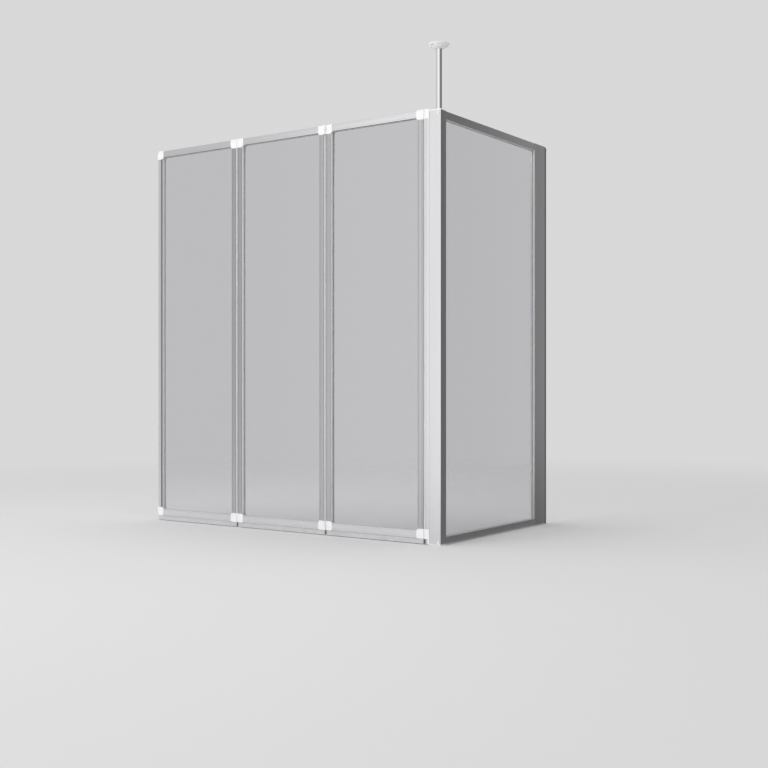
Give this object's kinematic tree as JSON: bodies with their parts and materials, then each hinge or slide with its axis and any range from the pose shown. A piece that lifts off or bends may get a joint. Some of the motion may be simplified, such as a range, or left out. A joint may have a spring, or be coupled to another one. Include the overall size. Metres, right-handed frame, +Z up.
{
  "type": "folding bath screen",
  "caption": "Framed bath screen whose glass panels fold from a corner post, with a fixed glass side panel, a wall profile and a support pole to the ceiling.",
  "frame": {"origin": "centre of the corner post's foot, on the plane of the bath rim", "axes": "+Z up; the folding front runs along -X from the post to its free edge; the fixed side panel runs along +Y to the wall; +X is the outer side of the side panel"},
  "size_m": [1.2922, 0.7605, 1.611],
  "materials": {
    "aluminium": "satin silver anodised",
    "glass": "clear safety glass",
    "white_plastic": "smooth injection moulded",
    "grey_plastic": "satin moulded",
    "dark_rubber": "matt extruded glazing rubber",
    "soft_seal": "translucent soft PVC",
    "steel": "stainless",
    "chrome_tube": "polished"
  },
  "bodies": {
    "fixed_frame": {"wall_profile": "aluminium", "wall_profile_cap": "grey_plastic", "side_wall_stile": "aluminium", "side_top_rail": "aluminium", "side_bottom_rail": "aluminium", "side_glass": "glass", "side_gasket": "dark_rubber", "side_adjusting_screws": "steel", "side_adjusting_screw_caps": "white_plastic", "side_rail_screws": "steel", "side_rail_screw_caps": "white_plastic", "corner_post": "aluminium", "post_top_cap": "white_plastic", "post_foot_cap": "white_plastic", "support_pole": "chrome_tube", "ceiling_flange": "white_plastic", "flange_grub_screw": "steel", "fixed_stile": "aluminium", "fixed_stile_screws": "steel", "fixed_hinge_blocks": "white_plastic", "fixed_block_screws": "steel", "fixed_hinge_pins": "steel", "fixed_seam_seal": "soft_seal", "fixed_rim_seal": "soft_seal"},
    "right_panel": {"right_panel_right_stile": "aluminium", "right_panel_left_stile": "aluminium", "right_panel_top_rail": "aluminium", "right_panel_bottom_rail": "aluminium", "right_panel_glass": "glass", "right_panel_gasket": "dark_rubber", "right_panel_right_blocks": "white_plastic", "right_panel_left_blocks": "white_plastic", "right_panel_screws": "steel", "right_panel_bottom_seal": "soft_seal", "right_panel_hinge_pins": "steel"},
    "middle_panel": {"middle_panel_right_stile": "aluminium", "middle_panel_left_stile": "aluminium", "middle_panel_top_rail": "aluminium", "middle_panel_bottom_rail": "aluminium", "middle_panel_glass": "glass", "middle_panel_gasket": "dark_rubber", "middle_panel_right_blocks": "white_plastic", "middle_panel_left_blocks": "white_plastic", "middle_panel_screws": "steel", "middle_panel_bottom_seal": "soft_seal", "middle_panel_hinge_pins": "steel", "middle_panel_seam_seal": "soft_seal"},
    "left_panel": {"left_panel_right_stile": "aluminium", "left_panel_free_stile": "aluminium", "left_panel_top_rail": "aluminium", "left_panel_bottom_rail": "aluminium", "left_panel_glass": "glass", "left_panel_gasket": "dark_rubber", "left_panel_right_blocks": "white_plastic", "left_panel_free_blocks": "white_plastic", "left_panel_screws": "steel", "left_panel_bottom_seal": "soft_seal", "left_panel_seam_seal": "soft_seal", "left_panel_edge_seal": "soft_seal"}
  },
  "joints": [
    {"name": "right_panel_hinge", "type": "hinge", "parent": "fixed_frame", "child": "right_panel", "pos_m": [-0.04225, 0.00725, 0.7], "axis": [0, 0, -1], "range_deg": [0, 90]},
    {"name": "middle_panel_hinge", "type": "hinge", "parent": "right_panel", "child": "middle_panel", "pos_m": [-0.44525, -0.01725, 0.7], "axis": [0, 0, 1], "range_deg": [0, 180]},
    {"name": "left_panel_hinge", "type": "hinge", "parent": "middle_panel", "child": "left_panel", "pos_m": [-0.84825, 0.00725, 0.7], "axis": [0, 0, -1], "range_deg": [0, 180]}
  ]
}
